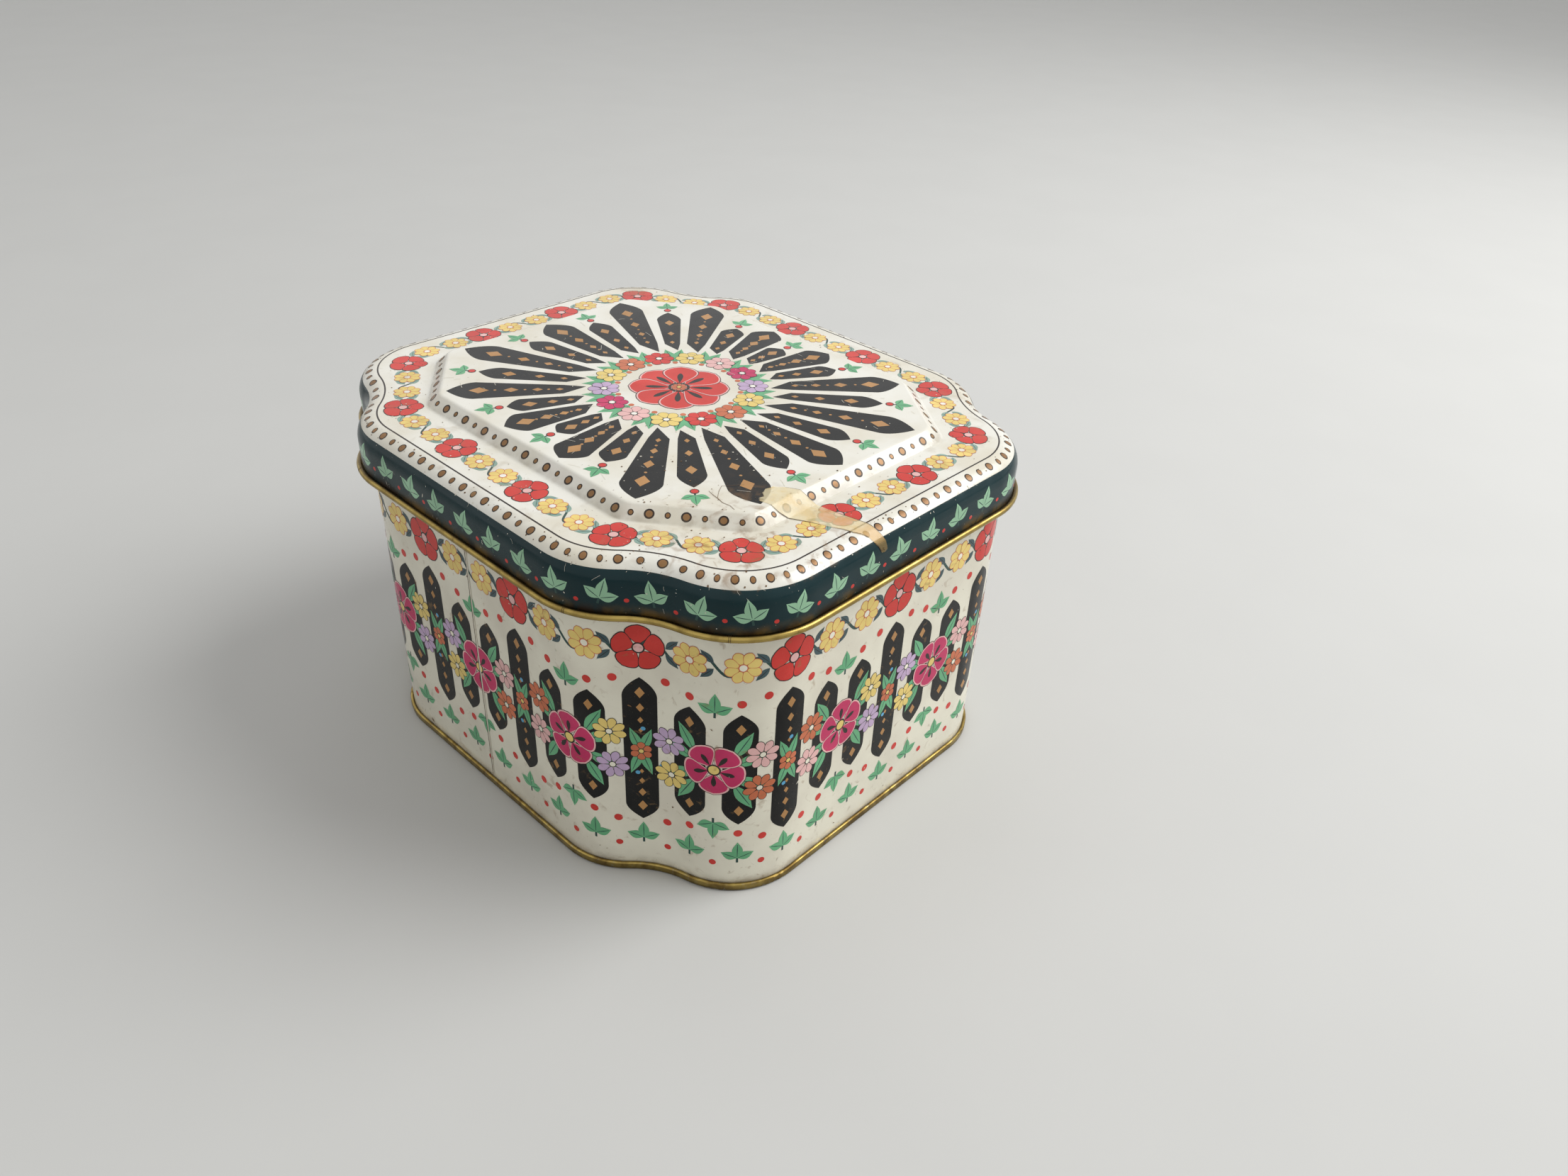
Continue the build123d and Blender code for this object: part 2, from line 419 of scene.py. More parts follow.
def cut_motif(motif, cell=None):
    """A motif as flat triangles, cut no wider and no higher than a cell where the sheet bends."""
    bm = bmesh.new()
    inks = sorted({ink for ink, _, _ in motif})
    for ink, layer, shape in motif:
        x, y = shape[:, 0], shape[:, 1]
        if np.sum(x * np.roll(y, -1) - np.roll(x, -1) * y) < 0:
            shape = shape[::-1]
        face = bm.faces.new([bm.verts.new((px, py, layer)) for px, py in shape])
        face.material_index = inks.index(ink)
    bmesh.ops.triangulate(bm, faces=bm.faces[:])
    for axis, size in enumerate(cell or ()):
        at = [v.co[axis] for v in bm.verts]
        facing = Vector((1, 0, 0) if axis == 0 else (0, 1, 0))
        for step in range(math.ceil(min(at) / size), math.floor(max(at) / size) + 1):
            parts = bm.verts[:] + bm.edges[:] + bm.faces[:]
            bmesh.ops.bisect_plane(bm, geom=parts, dist=1e-5, plane_co=facing * step * size, plane_no=facing)
    bmesh.ops.triangulate(bm, faces=bm.faces[:])
    bm.verts.index_update()
    places = np.array([v.co[:] for v in bm.verts])
    faces = np.array([[v.index for v in f.verts] for f in bm.faces])
    tones = np.array([f.material_index for f in bm.faces])
    bm.free()
    return places, faces, tones, inks


class Print:
    """Ink laid on one part of the tin. Motifs are stamped on it, and it becomes one mesh."""

    def __init__(self, name, place):
        self.name, self.place = name, place
        self.places, self.faces, self.tones, self.inks, self.count = [], [], [], [], 0

    def stamp(self, cut, at, degrees=0.0):
        """Lays a cut motif at a flat place, turned."""
        places, faces, tones, inks = cut
        flat = places.copy()
        flat[:, :2] = spun(flat[:, :2], degrees, at)
        for ink in inks:
            if ink not in self.inks:
                self.inks.append(ink)
        palette = np.array([self.inks.index(ink) for ink in inks])
        self.places.append(flat)
        self.faces.append(faces + self.count)
        self.tones.append(palette[tones])
        self.count += len(flat)

    def row(self, cut, pitch, count, share=0.0, height=0.0, turn=0.0):
        """Stamps a cut motif in a row, from a share of the pitch on, with every other one turned."""
        for k in range(count):
            self.stamp(cut, (pitch * (k + share), height), turn * (k % 2))

    def finish(self, body, slot, lift=INK_LIFT):
        """Makes the mesh on the tin and lets it ride with its body."""
        flat, faces = np.vstack(self.places), np.vstack(self.faces)
        places, facing = self.place(flat[:, :2])
        places = places + facing * (lift + INK_LAYER * flat[:, 2:])
        mesh = bpy.data.meshes.new(self.name)
        mesh.from_pydata((places * MM).tolist(), [], faces.tolist())
        mesh.polygons.foreach_set("material_index", np.concatenate(self.tones).astype(np.int32))
        mesh.polygons.foreach_set("use_smooth", np.ones(len(faces), bool))
        mesh.normals_split_custom_set_from_vertices(facing.tolist())
        mesh.update()
        for ink in self.inks:
            mesh.materials.append(aged_tape() if ink == "tape" else print_ink(ink))
        piece = bpy.data.objects.new(self.name, mesh)
        bpy.context.scene.collection.objects.link(piece)
        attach(piece, body)
        return piece


# Finishes


def add_node(tree, kind, sockets=None, **settings):
    """Adds a node with its settings. Sockets take a value or the output that feeds them."""
    made = tree.nodes.new(kind)
    for name, value in settings.items():
        setattr(made, name, value)
    for name, value in (sockets or {}).items():
        if isinstance(value, bpy.types.NodeSocket):
            tree.links.new(value, made.inputs[name])
        else:
            made.inputs[name].default_value = value
    return made


def new_finish(name):
    """An empty material and its node tree."""
    finish = bpy.data.materials.new(name)
    finish.use_nodes = True
    finish.node_tree.nodes.clear()
    return finish, finish.node_tree


def in_mm(tree):
    """Places on the tin in millimetres, as a vector and as its three parts."""
    coords = add_node(tree, "ShaderNodeTexCoord")
    sockets = {0: coords.outputs["Object"], 3: 1 / MM}
    place = add_node(tree, "ShaderNodeVectorMath", sockets, operation="SCALE").outputs[0]
    return place, add_node(tree, "ShaderNodeSeparateXYZ", {0: place}).outputs


def amount(tree, *factors, by="MULTIPLY"):
    """Factors joined by one operation. A factor is a number, an output, or an output with two values
    between which it climbs smoothly from 0 to 1, or between two further values that follow them."""
    total = None
    for factor in factors:
        if isinstance(factor, tuple):
            value, start, end, *climb = factor
            low, high = climb or (0.0, 1.0)
            sockets = {"Value": value, "From Min": start, "From Max": end, "To Min": low, "To Max": high}
            spread = add_node(tree, "ShaderNodeMapRange", sockets, interpolation_type="SMOOTHSTEP")
            factor = spread.outputs[0]
        if total is None:
            total = factor
        else:
            total = add_node(tree, "ShaderNodeMath", {0: total, 1: factor}, operation=by).outputs[0]
    return total


def mottle(tree, place, feature, low, high, detail=3.0, warp=0.0):
    """Soft patches about one feature size across, from 0 to 1 between two noise levels."""
    sockets = {"Vector": place, "Scale": 1 / feature, "Detail": detail, "Distortion": warp}
    return amount(tree, (add_node(tree, "ShaderNodeTexNoise", sockets).outputs["Fac"], low, high))


def layered(tree, under, *layers, kind="RGBA"):
    """A colour with layers over it. A layer is a colour and the factors of how much it covers. Colours
    are hex values, linear colours or outputs, and where the kind is FLOAT they are numbers instead."""
    for over, *cover in layers:
        pair = []
        for tone in (under, over):
            if isinstance(tone, str):
                tone = linear(tone)
            if kind == "RGBA" and not isinstance(tone, bpy.types.NodeSocket):
                tone = (*tone[:3], 1.0)
            pair.append(tone)
        sockets = {"Factor": amount(tree, *cover), "A": pair[0], "B": pair[1]}
        under = add_node(tree, "ShaderNodeMix", sockets, data_type=kind).outputs["Result"]
    return under


def aged(tree, place, parts, colour, skirt=0.88):
    """Age on the printed sheet, over its colour. The skirt value is how strong the patina at its foot
    is. Gives the aged colour and how dirty it is."""
    height = parts["Z"]
    stain_middle = (-42.0, -73.0, 97.0)
    sockets = {0: place, 1: stain_middle}
    from_stain = add_node(tree, "ShaderNodeVectorMath", sockets, operation="DISTANCE").outputs["Value"]
    rust = layered(tree, "#2A1A0C", ("#6B5122", mottle(tree, place, 11.0, 0.42, 0.62, 4.0)))
    marks = (
        # Brown foxing on the border
        (
            "#8F7A58",
            mottle(tree, place, 7.0, 0.54, 0.76, 6.0, 0.8),
            (height, FLANGE_HEIGHT - 2.0, FLANGE_HEIGHT - 0.6),
            (height, PANEL_HEIGHT - 0.2, FLANGE_HEIGHT + 1.0),
            0.28,
        ),
        # Grey darkening in the bend at the foot of the panel: handling dirt, and painted shade in the bend
        (
            "#7A6A50",
            (height, FLANGE_HEIGHT + 0.02, FLANGE_HEIGHT + 0.3),
            (height, PANEL_HEIGHT - 0.5, FLANGE_HEIGHT + 0.4),
            mottle(tree, place, 4.0, 0.3, 0.7, 5.0),
            0.34,
        ),
        # A stain near one corner of the lid
        (
            "#86623A",
            (from_stain, 38.0, 8.0),
            mottle(tree, place, 3.6, 0.5, 0.7, 6.0, 0.6),
            (height, FLANGE_HEIGHT - 3.2, FLANGE_HEIGHT - 1.2),
            0.62,
        ),
        # Dark patina where the skirt meets its rolled edge
        (
            rust,
            (height, CURL_HEIGHT - 0.3, CURL_HEIGHT + 0.3),
            (height, CURL_TOP + 3.2, CURL_TOP),
            mottle(tree, place, 3.2, 0.22, 0.62, 4.0, 0.4),
            skirt,
        ),
        # Small brown blooms on the body
        (
            "#8A6C45",
            mottle(tree, place, 3.4, 0.61, 0.74, 6.0, 1.0),
            (height, LID_FOOT - 0.4, LID_FOOT - 2.4),
            0.46,
        ),
        # Dirt above the seam of the base
        (
            "#6B563A",
            (height, SEAM_TOP + 2.8, SEAM_TOP),
            mottle(tree, place, 5.0, 0.3, 0.7, 5.0, 0.5),
            0.42,
        ),
    )
    dirt = []
    for tone, *factors in marks:
        dirt.append(amount(tree, *factors))
        colour = layered(tree, colour, (tone, dirt[-1]))
    return colour, amount(tree, *dirt, by="MAXIMUM")


def sheet_bump(tree, place, strength=0.35):
    """The gentle waves of thin stamped sheet, and the fine ripple of its baked varnish, which is drawn
    a little coarser than real so that it shows."""
    waves = 26.0, 1.0, 1.0, 0.9
    ripple = 0.9, 2.0, 0.5, 0.02
    bump = None
    for feature, detail, share, depth in (waves, ripple):
        sockets = {"Vector": place, "Scale": 1 / feature, "Detail": detail}
        noise = add_node(tree, "ShaderNodeTexNoise", sockets)
        sockets = {"Height": noise.outputs["Fac"], "Strength": strength * share, "Distance": depth * MM}
        if bump:
            sockets["Normal"] = bump
        bump = add_node(tree, "ShaderNodeBump", sockets).outputs[0]
    return bump


def close(tree, sockets):
    """Ends a finish with its surface."""
    shader = add_node(tree, "ShaderNodeBsdfPrincipled", sockets)
    add_node(tree, "ShaderNodeOutputMaterial", {"Surface": shader.outputs[0]})


def print_ink(ink):
    """Offset-printed stoving ink under clear varnish: flat colour a little uneven and rubbed, as
    smooth and glossy as the sheet. Metallic inks have a soft sheen of bronze powder instead."""
    name = "printed_ink_" + ink
    if name in bpy.data.materials:
        return bpy.data.materials[name]
    finish, tree = new_finish(name)
    place, parts = in_mm(tree)
    fresh = getattr(bpy.context.scene.tin_inks, ink)
    faded = tuple(min(1.0, c * 1.16 + 0.006) for c in fresh)
    # Pinholes and rub marks about half a millimetre across let the base coat through
    rubs = mottle(tree, place, 0.45, 0.7, 0.76, 2.0), mottle(tree, place, 14.0, 0.5, 0.72), 0.5
    colour = layered(tree, fresh, (faded, mottle(tree, place, 11.0, 0.4, 0.72, 4.0)), ("#A89F8C", *rubs))
    colour, dirt = aged(tree, place, parts, colour)
    bronze = ink in ("copper", "bronze")
    smooth, rough = (0.3, 0.46) if bronze else (0.15, 0.29)
    worn = mottle(tree, place, 6.0, 0.3, 0.75)
    close(
        tree,
        {
            "Base Color": colour,
            "Metallic": 0.35 if bronze else 0.0,
            "Roughness": amount(tree, (worn, 0.0, 1.0, smooth, rough), amount(tree, dirt, 0.3), by="ADD"),
            "Normal": sheet_bump(tree, place),
            "IOR": 1.5,
            "Specular IOR Level": 0.36 if bronze else 0.2,
        },
    )
    return finish


def outer_side(tree, parts):
    """1 on the outside of the sheet and 0 on its inside, by which way each face looks."""
    facing = add_node(tree, "ShaderNodeNewGeometry").outputs["True Normal"]
    look = add_node(tree, "ShaderNodeSeparateXYZ", {0: facing}).outputs
    outwards = [amount(tree, look[axis], parts[axis], 0.02) for axis in ("X", "Y")]
    return amount(tree, (amount(tree, *outwards, look["Z"], by="ADD"), -0.02, 0.02))


def even_lacquer(tree, place, tone):
    """Lacquered plate that nothing rubs on: one tone with faint clouds, and a calm satin roughness."""
    clouds = mottle(tree, place, 26.0, 0.3, 0.8, 2.0)
    duller = tuple(0.86 * c for c in tone)
    return layered(tree, tone, (duller, clouds)), amount(tree, (clouds, 0.0, 1.0, 0.27, 0.34))


def printed_sheet(name, base, lid):
    """Lithographed tinplate: a stoved cream base coat under glossy varnish outside, calm pale lacquer
    inside, and bare gold-lacquered plate on the rolled edge, browned where the coat stops."""
    finish, tree = new_finish(name)
    place, parts = in_mm(tree)
    inks = bpy.context.scene.tin_inks
    height = parts["Z"]
    yellowed = mottle(tree, place, 18.0, 0.35, 0.7, 5.0)
    specks = mottle(tree, place, 0.8, 0.7, 0.78, 3.0)
    coat = layered(tree, base, (inks.warm_coat, yellowed), ("#6E5A3E", specks, 0.5))
    coat, dirt = aged(tree, place, parts, coat, 0.88 if lid else 0.0)
    grain = mottle(tree, place, 5.0, 0.3, 0.75, 5.0, 0.6)
    tarnish = mottle(tree, place, 1.6, 0.6, 0.78, 4.0)
    gold = layered(tree, inks.gold_lacquer, (inks.old_gold, grain, 0.6), ("#3E2E18", tarnish, 0.5))
    # The coat stops above the lid's rolled edge, and under the body's
    if lid:
        bare, coated = CURL_TOP + 0.05, CURL_TOP + 0.3
        # The underside of the lid's rolled edge is darkened as painted shade, and its top is browned where
        # the coat stops
        shade_under_curl = height, LID_FOOT + 0.35, LID_FOOT
        browning_and_shade = amount(tree, (height, bare - 0.32, bare), shade_under_curl, by="MAXIMUM")
    else:
        bare, coated = SHOULDER_FOOT, SHOULDER_FOOT - 0.6
        browning_and_shade = amount(tree, (height, bare + 0.6, bare))
        # A dark band where the lid's rolled edge rests against the wall: painted shadow of the edge, and dirt
        # that has gathered there
        shadow_and_dirt_under_lid = (height, LID_FOOT - 1.0, LID_FOOT + 0.6), (height, LID_FOOT + 2.6, LID_FOOT + 1.0)
        coat = layered(tree, coat, ("#3A2C1C", *shadow_and_dirt_under_lid, mottle(tree, place, 6.0, 0.1, 0.7, 4.0), 0.5))
    rolled = amount(tree, (height, coated, bare))
    # Dark brown over the gold: browning where the coat stops, and painted shade under the lid's rolled edge
    gold = layered(tree, gold, ("#33220F", browning_and_shade, 0.85))
    plate, plate_rough = even_lacquer(tree, place, inks.inside_lacquer)
    printed = amount(tree, outer_side(tree, parts), (height, bare, coated))
    gold_rough = amount(tree, (grain, 0.0, 1.0, 0.22, 0.38))
    coat_rough = amount(tree, (grain, 0.0, 1.0, 0.14, 0.27))
    rough = layered(tree, plate_rough, (gold_rough, rolled), (coat_rough, printed), kind="FLOAT")
    close(
        tree,
        {
            "Base Color": layered(tree, plate, (gold, rolled), (coat, printed)),
            "Metallic": amount(tree, 1.0, printed, by="SUBTRACT"),
            "Roughness": amount(tree, rough, amount(tree, dirt, printed, 0.3), by="ADD"),
            "Normal": sheet_bump(tree, place),
            "IOR": 1.5,
        },
    )
    return finish


def lacquered_plate():
    """Gold-lacquered tinplate of the seamed base: an even warm sheen underneath and pale lacquer
    inside, scuffed on the rim that rubs on the table, with grey wear on its edge, and darker olive
    towards the rim's foot as painted shade and painted reflection of a dark floor."""
    finish, tree = new_finish("gold_lacquered_tinplate")
    place, parts = in_mm(tree)
    inks = bpy.context.scene.tin_inks
    height = parts["Z"]
    grain = mottle(tree, place, 4.0, 0.3, 0.75, 5.0, 0.6)
    colour = layered(
        tree,
        inks.gold_lacquer,
        (inks.old_gold, grain),
        # Darker olive towards the rim's foot: painted shade and painted reflection of a dark floor
        ("#4A432C", (height, 1.9, 0.2), 0.65),
        ("#8B8674", mottle(tree, place, 1.1, 0.58, 0.7, 3.0), 0.45),
    )
    rough = amount(tree, (grain, 0.0, 1.0, 0.3, 0.48))
    underside = inks.gold_lacquer, SEAM_TOP + 0.02, SEAM_TOP + 0.2
    inside = inks.inside_lacquer, FLOOR_TOP - 0.15, FLOOR_TOP - 0.05
    for tone, start, end in (underside, inside):
        share = amount(tree, (height, start, end))
        even, even_rough = even_lacquer(tree, place, tone)
        colour = layered(tree, colour, (even, share))
        rough = layered(tree, rough, (even_rough, share), kind="FLOAT")
    bump = sheet_bump(tree, place, 0.3)
    close(tree, {"Base Color": colour, "Metallic": 1.0, "Roughness": rough, "Normal": bump})
    return finish


def aged_tape():
    """Clear cellulose tape whose adhesive has yellowed: a milky amber film with a soft shine,
    browner in the blots where it has let go, and dirty at its lower end."""
    finish, tree = new_finish("aged_cellulose_tape")
    place, parts = in_mm(tree)
    colour = layered(
        tree,
        bpy.context.scene.tin_inks.tape,
        ("#F2D590", mottle(tree, place, 4.0, 0.35, 0.7, 4.0, 0.6)),
        ("#B08A40", mottle(tree, place, 2.2, 0.6, 0.74, 3.0, 0.8), 0.5),
        ("#E8B04C", (parts["Y"], -78.0, -82.0), 0.7),
        ("#6E5F35", (parts["Z"], 96.4, 94.6), 0.8),
    )
    sockets = {"Vector": place, "Scale": 1 / 1.6, "Detail": 3.0, "Distortion": 1.0}
    wrinkle = add_node(tree, "ShaderNodeTexNoise", sockets).outputs["Fac"]
    bump = add_node(tree, "ShaderNodeBump", {"Height": wrinkle, "Strength": 0.6, "Distance": 0.12 * MM})
    close(
        tree,
        {
            "Base Color": colour,
            "Roughness": mottle(tree, place, 3.0, -0.4, 1.6),
            "Normal": bump.outputs[0],
            "Alpha": 0.52,
            "IOR": 1.47,
        },
    )
    return finish


# What a user would change


def tone_setting(name, description, colour):
    """A colour that a user can change, from its hex value."""
    return FloatVectorProperty(
        name=name, description=description, subtype="COLOR", min=0, max=1, default=linear(colour)
    )


def length_setting(name, description, length):
    """A length that a user can change."""
    return FloatProperty(name=name, description=description, default=length * MM, unit="LENGTH")


def count_setting(name, description, count, least):
    """A count that a user can change, with its least value."""
    return IntProperty(name=name, description=description, default=count, min=least)


class TinInks(bpy.types.PropertyGroup):
    """Colours of the print and of the bare plate."""

    lid_coat: tone_setting("Lid coat", "Cream base coat of the lid", "#E8E6DC")
    # The body's cream is warmer than the lid's as painted warm tone of its shaded walls
    body_coat: tone_setting("Body coat", "Cream base coat of the body", "#E9E5D2")
    warm_coat: tone_setting("Yellowed coat", "Cream coat where age has yellowed it", "#DAD4C2")
    black: tone_setting("Black", "Rays and arches", "#070706")
    outline: tone_setting("Outline", "Pen lines round the motifs", "#2B2320")
    copper: tone_setting("Copper", "Bronze-powder ink of the lozenges", "#B0824E")
    bronze: tone_setting("Bronze", "Darker bronze-powder ink of the beads", "#84603A")
    teal: tone_setting("Teal", "Ground of the lid's skirt", "#0A2A2E")
    mint: tone_setting("Mint", "Leaves on the skirt", "#94BE9C")
    red: tone_setting("Red", "Large blossoms and dots", "#C93A33")
    magenta: tone_setting("Magenta", "Large blossoms of the body's band", "#BF2F5F")
    yellow: tone_setting("Yellow", "Small blossoms", "#E2C876")
    rust: tone_setting("Rust", "Small blossoms", "#C56E4B")
    lilac: tone_setting("Lilac", "Small blossoms", "#BCA4C2")
    blush: tone_setting("Blush", "Small blossoms and inner petals", "#E2B4B0")
    leaf: tone_setting("Leaf green", "Leaves on the body and the panel", "#66AA7C")
    sage: tone_setting("Sage", "Leaves on the lid's border", "#86A296")
    slate: tone_setting("Slate", "Leaves along the top of the body", "#41565A")
    sky: tone_setting("Sky blue", "Small dots among the blossoms", "#5BA2C8")
    vine: tone_setting("Vine", "Stems and veins", "#2E4A45")
    gold_lacquer: tone_setting("Gold lacquer", "Rolled edges and base", "#A89252")
    old_gold: tone_setting("Old gold", "Lacquer where it has browned", "#67522C")
    inside_lacquer: tone_setting("Inside lacquer", "Inside of the tin", "#E3DCC6")
    chip: tone_setting("Chipped paint", "Bare places in the print", "#D8D3C4")
    spot: tone_setting("Rust and foxing", "Small brown spots", "#6A4E30")
    # This dark ink is dirt in the seam and in the tape's glue, and painted shade in the pinches of the lid's
    # rolled edge
    grime: tone_setting("Grime", "Dirt in the seam, cracks and creases", "#4A3B2A")
    tape: tone_setting("Aged tape", "Yellowed film and adhesive", "#F8EAC0")


class TinPrint(bpy.types.PropertyGroup):
    """How the print is laid out."""

    rays: count_setting("Rays", "Long rays on the lid, with short ones between", 14, 4)
    arch_groups: count_setting("Arch groups", "Groups of three arches round the body", 14, 2)
    sprigs: count_setting("Sprigs", "Leaf sprigs round the skirt, an even number", 48, 8)
    border_repeats: count_setting("Border repeats", "Blossom groups round the lid", 16, 4)
    arch_width: length_setting("Arch width", "Width of a black arch", 8.6)
    tall_arch: length_setting("Tall arch", "Height of the middle arch of three", 46.5)
    short_arch: length_setting("Short arch", "Height of the arches beside it", 36.0)
    arch_middle: length_setting("Arch middle", "Height of the arches' middle", 41.6)


class TinStage(bpy.types.PropertyGroup):
    """The studio."""

    floor: tone_setting("Floor", "Colour of the floor", "#CCCCC9")
    key_power: FloatProperty(
        name="Key power", description="Power of the softbox at the front", default=18.4, unit="POWER"
    )
    fill: FloatProperty(name="Fill", description="Strength of the room's light", default=0.5, min=0)


# Pieces


class TIN_OT_finish_sheet(bpy.types.Operator):
    """Gives the lid, the body wall and the base their lithographed and lacquered finishes"""

    bl_idname = "tin.finish_sheet"
    bl_label = "Finish the sheet metal"

    def execute(self, context):
        inks = context.scene.tin_inks
        finishes = {
            "lid": printed_sheet("printed_tinplate_lid", inks.lid_coat, True),
            "body_wall": printed_sheet("printed_tinplate_body", inks.body_coat, False),
            "base": lacquered_plate(),
        }
        for name, finish in finishes.items():
            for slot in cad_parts[name].material_slots:
                slot.material = finish
        return {"FINISHED"}


class TIN_OT_print_panel(bpy.types.Operator):
    """Prints the sunburst of rays and the rosette on the raised panel"""

    bl_idname = "tin.print_panel"
    bl_label = "Print the raised panel"

    def execute(self, context):
        count = context.scene.tin_print.rays
        ink = Print("panel_print", on_panel)
        for k in range(2 * count):
            degrees = 180 * k / count
            edge = panel_reach(math.radians(degrees + 90), 1.6)
            shapes = self.short_ray(edge) if k % 2 else self.long_ray(edge)
            ink.stamp(cut_motif(shapes), (0, 0), degrees)
        ink.stamp(cut_motif(self.rosette(count)), (0, 0))
        ink.finish("lid", "lid_print")
        return {"FINISHED"}

    def long_ray(self, edge):
        """A ray up to the panel's edge, with lozenges and dots by turns."""
        run = edge - RAY_FOOT
        marks = (0.77, 1.0), (0.54, 0.74), (0.35, 0.54), (0.19, 0.4)
        shapes = [("black", 0, ray(RAY_FOOT, edge, 4.2, 10.6))]
        shapes += lozenges(marks, RAY_FOOT, run, *RAY_LOZENGE)
        for share in (0.655, 0.44, 0.27):
            shapes.append(("copper", 1, ellipse(0.4, at=(0, RAY_FOOT + run * share), points=10)))
        return shapes

    def short_ray(self, edge):
        """A ray that stops short of the panel's edge, with a berry and a sprig beyond it."""
        tip, berry, sprig = edge - 8.0, edge - 6.1, edge - 3.2
        marks = (0.72, 0.78), (0.44, 0.56), (0.22, 0.4)
        shapes = [("black", 0, ray(RAY_FOOT + 0.8, tip, 3.8, 7.4))]
        shapes += lozenges(marks, RAY_FOOT, tip - RAY_FOOT, *RAY_LOZENGE)
        shapes += moved(trefoil_sprig(6.8, "leaf", "vine"), 0, (0, sprig))
        for tone, layer, size in (("outline", 4, 1.15), ("red", 4.4, 0.92)):
            shapes.append((tone, layer, ellipse(size, at=(0, berry))))
        return shapes

    def rosette(self, count):
        """A large blossom in a ring of small ones, with leaves and dots between them."""
        shapes = []
        leaves_out, blossoms_out, dots_out = 17.6, 20.6, 17.2
        tones = "rust", "yellow", "lilac", "magenta", "blush", "yellow", "red"
        for k in range(count):
            half, spin = 360 * (k + 0.5) / count, 360 * k / count
            for way in (-1, 1):
                one = veined_leaf(9.6, 3.5, "leaf", "vine")
                at = spun((0, leaves_out), half)
                shapes += moved(one, half + 15 * way, at, 0.3 + 0.1 * k + 0.05 * way)
            tone = tones[k % len(tones)]
            small = flower(7, 4.5, 3.0, (("outline", 0), (tone, 0.13)), "lid_coat", 1.05)
            shapes += moved(small, spin, spun((0, blossoms_out), spin), 3)
            shapes.append(("rust", 2.8, ellipse(0.8, at=spun((0, dots_out), half), points=12)))
        red_edged = (("outline", 0), ("blush", 0.2), ("red", 0.6))
        shapes += moved(flower(8, 14.2, 10.4, red_edged, "blush", 3.0, "outline"), layer=2)
        middle = flower(8, 2.4, 1.5, (("outline", 0), ("rust", 0.12)), "yellow", 0.7)
        return shapes + moved(middle, layer=10)


class TIN_OT_print_border(bpy.types.Operator):
    """Prints the blossom border, the fine line and both rows of beads on the lid"""

    bl_idname = "tin.print_border"
    bl_label = "Print the lid's border"

    def execute(self, context):
        repeats = context.scene.tin_print.border_repeats
        strip = Strip(border_outline(), border_section)
        pitch = strip.length / repeats
        stem = vine(pitch, 2.3, 0.56, veined_leaf(3.9, 1.8, "sage", "vine"), 0.165, 42, 0.7)
        red = flower(5, 5.5, 5.3, (("outline", 0), ("red", 0.2)), "blush", 1.4)
        yellow = flower(8, 3.8, 2.3, (("rust", 0), ("yellow", 0.14)), "lid_coat", 1.05)
        group = three_blossoms(pitch, stem, red, yellow, (-20, 20))
        ink = Print("border_print", strip.place)
        ink.row(cut_motif(group, (1.5, 1.5)), pitch, repeats, 0.5)
        ink.finish("lid", "lid_print")
        self.print_slope()
        self.print_shoulder()
        return {"FINISHED"}

    def print_slope(self):
        """A row of beads halfway up the panel's slope."""
        slope = Strip(panel_outline(), slope_section, SLOPE_RUN / 2)
        beads = Print("slope_beads", slope.place)
        pairs = 48
        for share, wide, high in ((0.25, 1.25, 1.25), (0.75, 0.72, 0.8)):
            cut = cut_motif(bead(wide, high, 0.66), (0.4, 9))
            beads.row(cut, slope.length / pairs, pairs, share)
        beads.finish("lid", "lid_print")

    def print_shoulder(self):
        """A row of beads on the lid's shoulder, with a fine line above it."""
        shoulder = Strip(tin_outline(), skirt_section)
        beads = Print("shoulder_beads", shoulder.place)
        pairs, line_rise = 62, 17.1
        pitch = shoulder.length / pairs
        for share, wide, high, rise in ((0.25, 1.15, 1.25, 14.5), (0.75, 0.82, 1.0, 14.4)):
            beads.row(cut_motif(bead(wide, high, 0.75), (0.7, 0.35)), pitch, pairs, share, rise)
        line = cut_motif([("outline", 0, bar(pitch, -0.2, 0.2))], (0.9, 0.2))
        beads.row(line, pitch, pairs, height=line_rise)
        beads.finish("lid", "lid_print")


class TIN_OT_print_skirt(bpy.types.Operator):
    """Prints the teal ground, the leaf sprigs and the berries on the lid's skirt"""

    bl_idname = "tin.print_skirt"
    bl_label = "Print the skirt"

    def execute(self, context):
        count = context.scene.tin_print.sprigs
        strip = Strip(tin_outline(), skirt_section)
        pitch = strip.length / count
        strip.cell = (pitch / 12, 0.7)
        ink = Print("skirt_print", strip.place)
        foot, top, sprig_rise = 0.72, 12.0, 5.9
        ground = [("teal", -1, bar(2 * pitch, foot, top))]
        for share, lean in ((0.5, -16), (1.5, 12)):
            ground += moved(trefoil_sprig(8.0, "mint", "vine"), lean, (share * pitch, sprig_rise))
        ink.row(cut_motif(ground, strip.cell), 2 * pitch, count // 2)
        berry = cut_motif([("red", 1, ellipse(0.62, 0.56, points=12))])
        for share, rise in ((0.0, 3.6), (0.5, 4.4)):
            ink.row(berry, 2 * pitch, count // 2, share, rise)
        ink.finish("lid", "lid_print")
        return {"FINISHED"}


